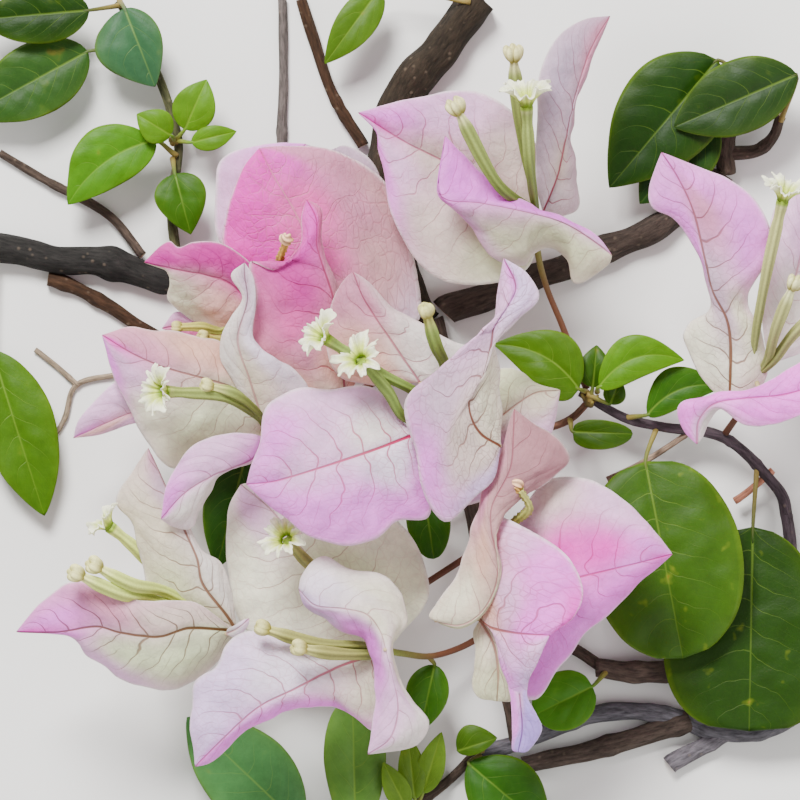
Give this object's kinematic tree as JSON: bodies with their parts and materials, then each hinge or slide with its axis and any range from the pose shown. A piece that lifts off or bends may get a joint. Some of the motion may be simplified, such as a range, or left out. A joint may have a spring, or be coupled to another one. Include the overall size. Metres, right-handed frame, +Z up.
{
  "type": "cut flowering bougainvillea branch",
  "caption": "Cut branch lying on its back, with woody boughs, ovate leaves and papery pink and cream bracts around small tubular star flowers",
  "frame": {"origin": "on the surface that the branch lies on, under the middle of its bounding box", "axes": "+Z up, the side that the flowers face; +Y toward the upper end of the branch; +X to its right"},
  "size_m": [0.1766, 0.1731, 0.0587],
  "materials": {
    "bark_grey": "matte, ridged bark",
    "bark_brown": "matte bark",
    "leaf_green": "satin leaf",
    "leaf_young": "satin leaf",
    "bract_blush": "papery, matte",
    "bract_pink": "papery, matte"
  },
  "bodies": {
    "root": {"bough_spine_upper": "bark_grey", "bough_spine_lower": "bark_grey", "bough_right": "bark_grey", "bough_right_stub": "bark_grey", "bough_left": "bark_brown", "branch_left_low": "bark_brown", "twig_left_high": "bark_grey", "bough_low": "bark_grey", "bough_low_stub": "bark_grey", "bough_low_brown": "bark_brown", "twig_mid": "bark_grey", "bough_mid": "bark_brown", "stem_right_upper": "bark_grey", "stem_right_lower": "bark_grey", "twig_centre": "bark_grey", "twig_tan": "bark_grey", "twig_orange": "bark_grey", "twig_fork": "bark_grey", "twig_top_dark": "bark_brown", "twig_top_grey": "bark_grey", "shoot_low": "bark_grey", "shoot_high": "bark_grey", "leaf_node_left": "leaf_young", "leaf_node_right": "leaf_young", "leaves_node_young": "leaf_young", "leaf_stem": "leaf_green", "leaf_node_low": "leaf_young", "leaf_big_left": "leaf_green", "leaf_big_right": "leaf_green", "leaf_low": "leaf_green", "leaf_shoot_upper": "leaf_young", "leaf_shoot_right": "leaf_green", "leaf_under_low": "leaf_green", "leaf_under_centre": "leaf_green", "leaf_under_left": "leaf_green", "leaf_bottom": "leaf_green", "leaf_bottom_left": "leaf_green", "leaves_bottom_young": "leaf_young", "leaf_high_left": "leaf_young", "leaf_high_low": "leaf_green", "leaves_high_young": "leaf_young", "leaf_top_fold": "leaf_green", "leaf_top_left": "leaf_green", "leaf_top_corner": "leaf_green", "leaf_edge_left": "leaf_green", "leaf_top_centre": "leaf_green", "leaf_back_wide": "leaf_green", "leaf_back_low": "leaf_green", "leaf_back_right": "leaf_green", "bloom_top": "bract_blush", "bloom_pink": "bract_pink", "bloom_side": "bract_pink", "bloom_centre": "bract_blush", "bloom_left": "bract_blush", "bloom_low_left": "bract_blush", "bloom_low": "bract_blush", "bloom_right": "bract_pink", "bloom_edge": "bract_blush"}
  },
  "joints": []
}
